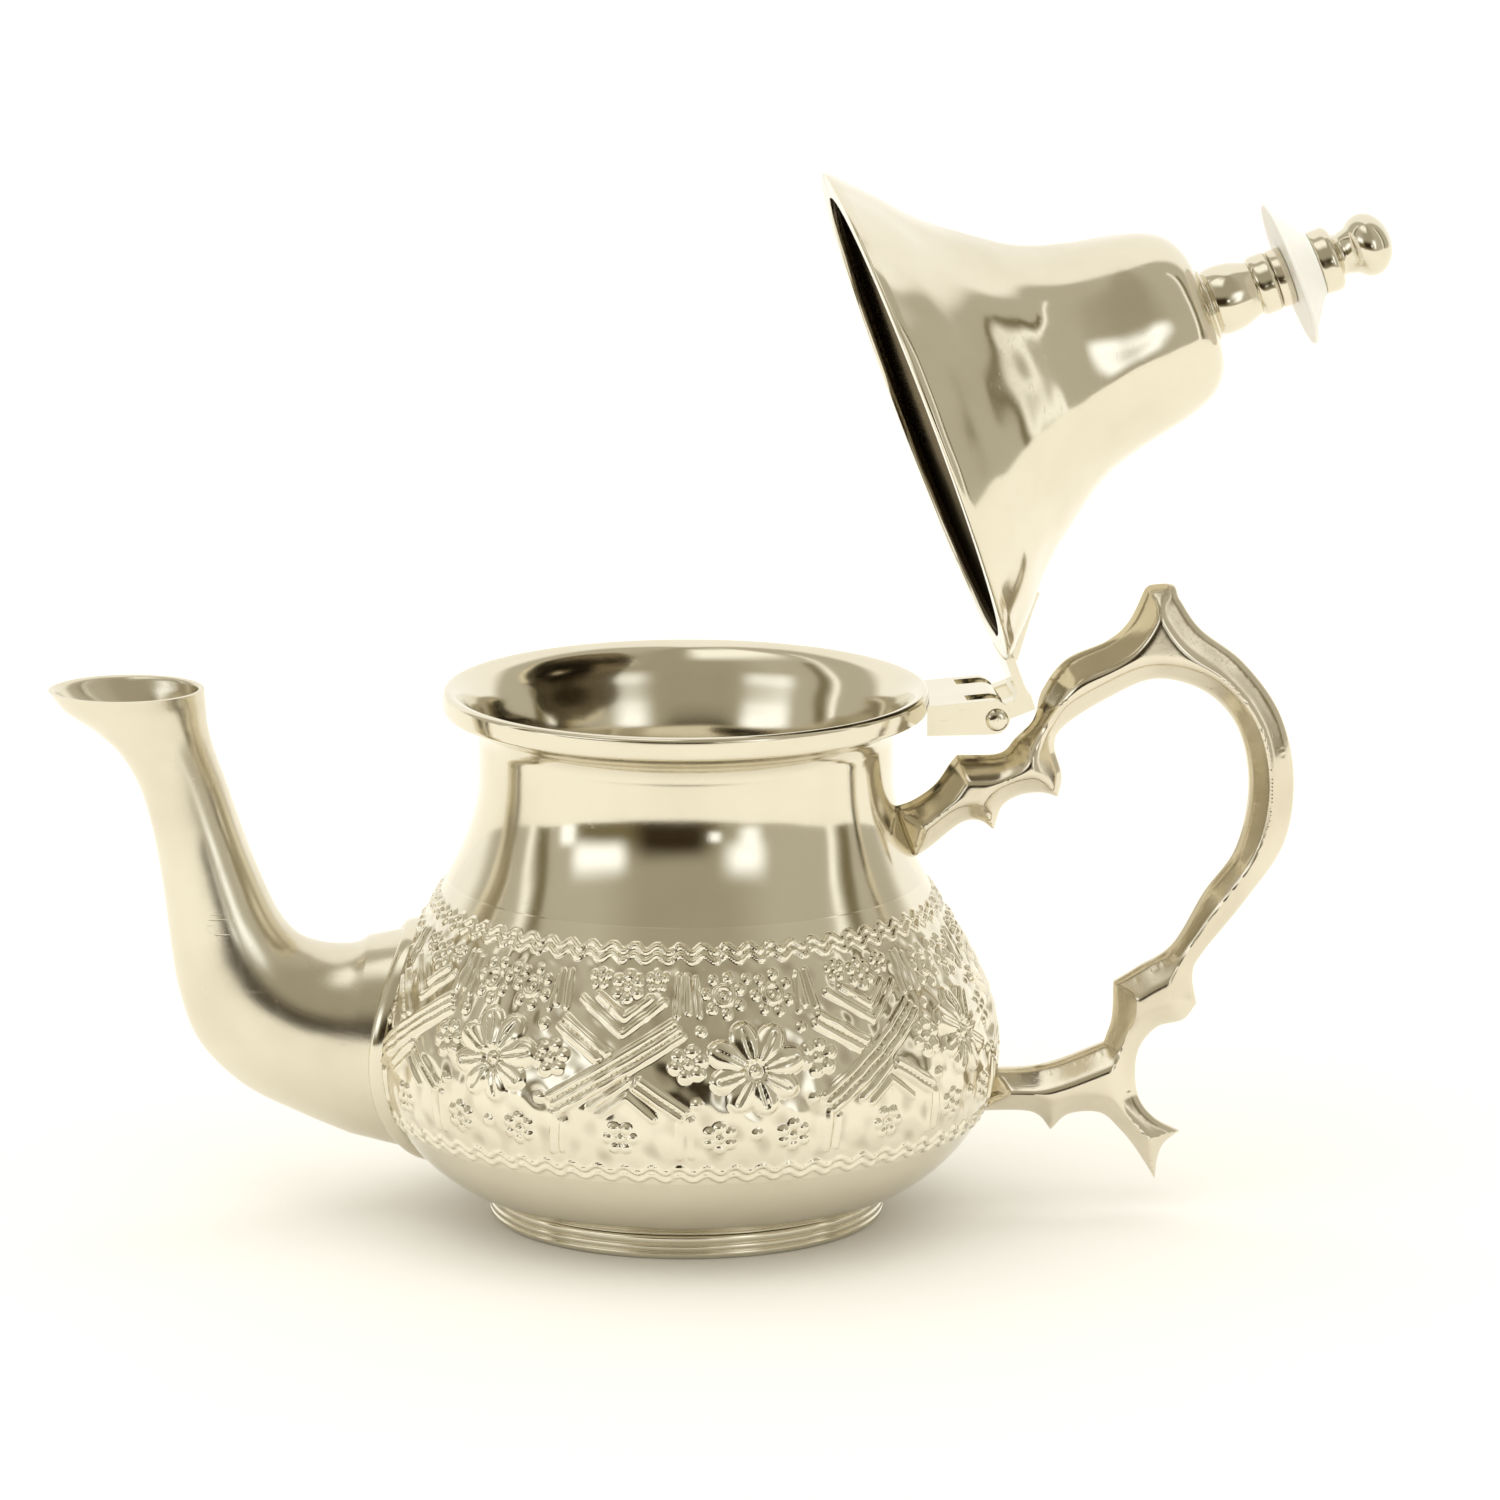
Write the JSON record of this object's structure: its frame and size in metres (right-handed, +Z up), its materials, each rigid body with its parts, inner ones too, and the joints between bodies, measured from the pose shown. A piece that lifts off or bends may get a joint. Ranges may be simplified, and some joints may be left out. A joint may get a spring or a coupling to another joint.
{
  "type": "teapot",
  "caption": "Small belly teapot with a chased belt, gooseneck spout, scrolled cast handle and a bell lid hinged at the rim, shown open.",
  "frame": {"origin": "centre of the foot ring, on the surface the pot stands on", "axes": "+Z up along the pot's axis; +X towards the handle, -X towards the spout; +Y completes the right-handed frame"},
  "size_m": [0.2159, 0.1006, 0.1692],
  "materials": {
    "bright_plate": "polished nickel-silver plate on sheet brass",
    "brushed_plate": "plated sheet brass, brushed along its length",
    "cast_plate": "plated casting, tumbled and buffed",
    "dull_plate": "plated, left unpolished",
    "insulator": "moulded milk-white plastic, satin"
  },
  "bodies": {
    "pot": {"body_shell": "bright_plate", "base_plate": "dull_plate", "foot_ring": "bright_plate", "spout_near_half": "brushed_plate", "spout_far_half": "brushed_plate", "spout_collar": "bright_plate", "spout_strainer": "dull_plate", "handle": "cast_plate", "hinge_bracket": "bright_plate", "hinge_pin": "dull_plate"},
    "lid": {"lid_leaf": "bright_plate", "lid_shell": "bright_plate", "knob_base_ring": "bright_plate", "knob_barrel": "bright_plate", "knob_ferrule": "dull_plate", "insulator_disc": "insulator", "knob_cap": "bright_plate", "knob_stud": "dull_plate", "knob_washer": "dull_plate", "knob_nut": "dull_plate"}
  },
  "joints": [
    {"name": "lid_hinge", "type": "hinge", "parent": "pot", "child": "lid", "pos_m": [0.04878, 0.00556, 0.0822], "axis": [-0.1132, 0.9936, 0], "range_deg": [-70, 0]}
  ]
}
